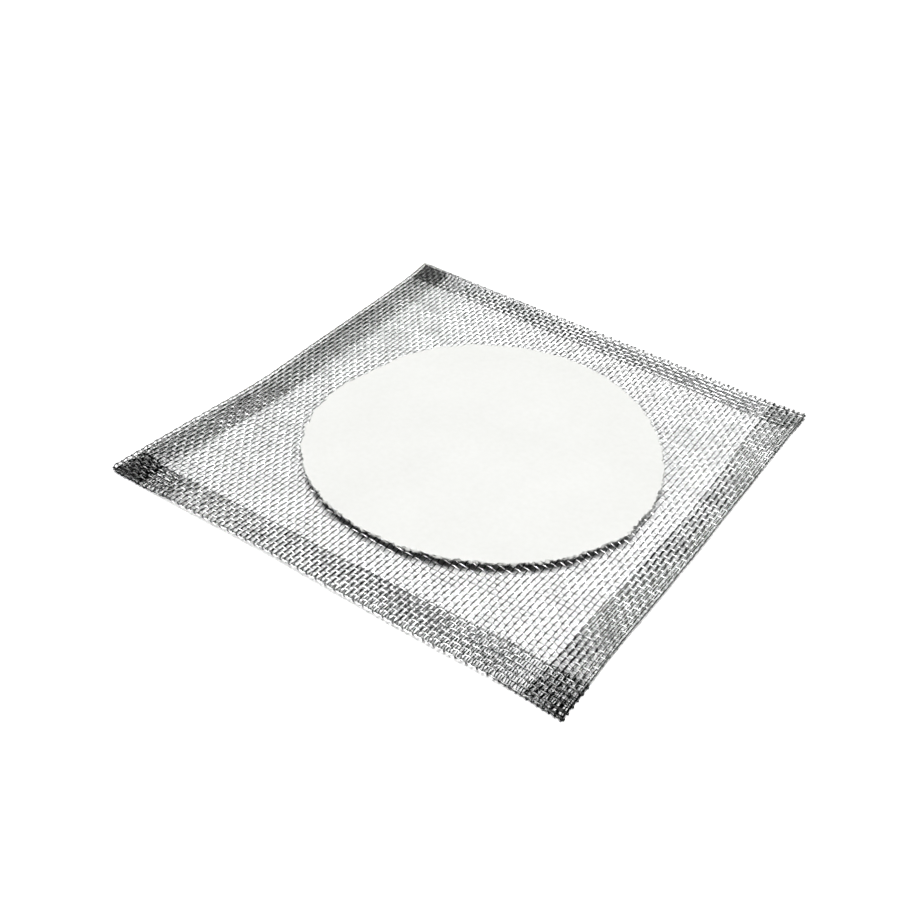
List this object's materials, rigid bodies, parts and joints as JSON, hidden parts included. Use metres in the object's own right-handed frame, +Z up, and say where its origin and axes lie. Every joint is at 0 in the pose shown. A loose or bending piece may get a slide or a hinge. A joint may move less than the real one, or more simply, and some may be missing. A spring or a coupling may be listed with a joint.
{
  "type": "wire gauze",
  "caption": "Square of woven wire cloth with folded hems and a raised round ceramic centre, laid on a tripod to spread a burner's heat under glassware.",
  "frame": {"origin": "on the surface that the gauze lies on, below the middle of the cloth", "axes": "+Z up out of the ceramic, +X along the weft wires to the right, +Y along the warp wires to the back"},
  "size_m": [0.15, 0.152, 0.0047],
  "materials": {
    "iron_wire": "drawn iron wire, zinc grey, slightly tarnished",
    "ceramic": "matt off-white heat-proof ceramic, crumbly at the rim"
  },
  "bodies": {
    "root": {"wire_cloth": "iron_wire", "ceramic_centre": "ceramic"}
  },
  "joints": []
}
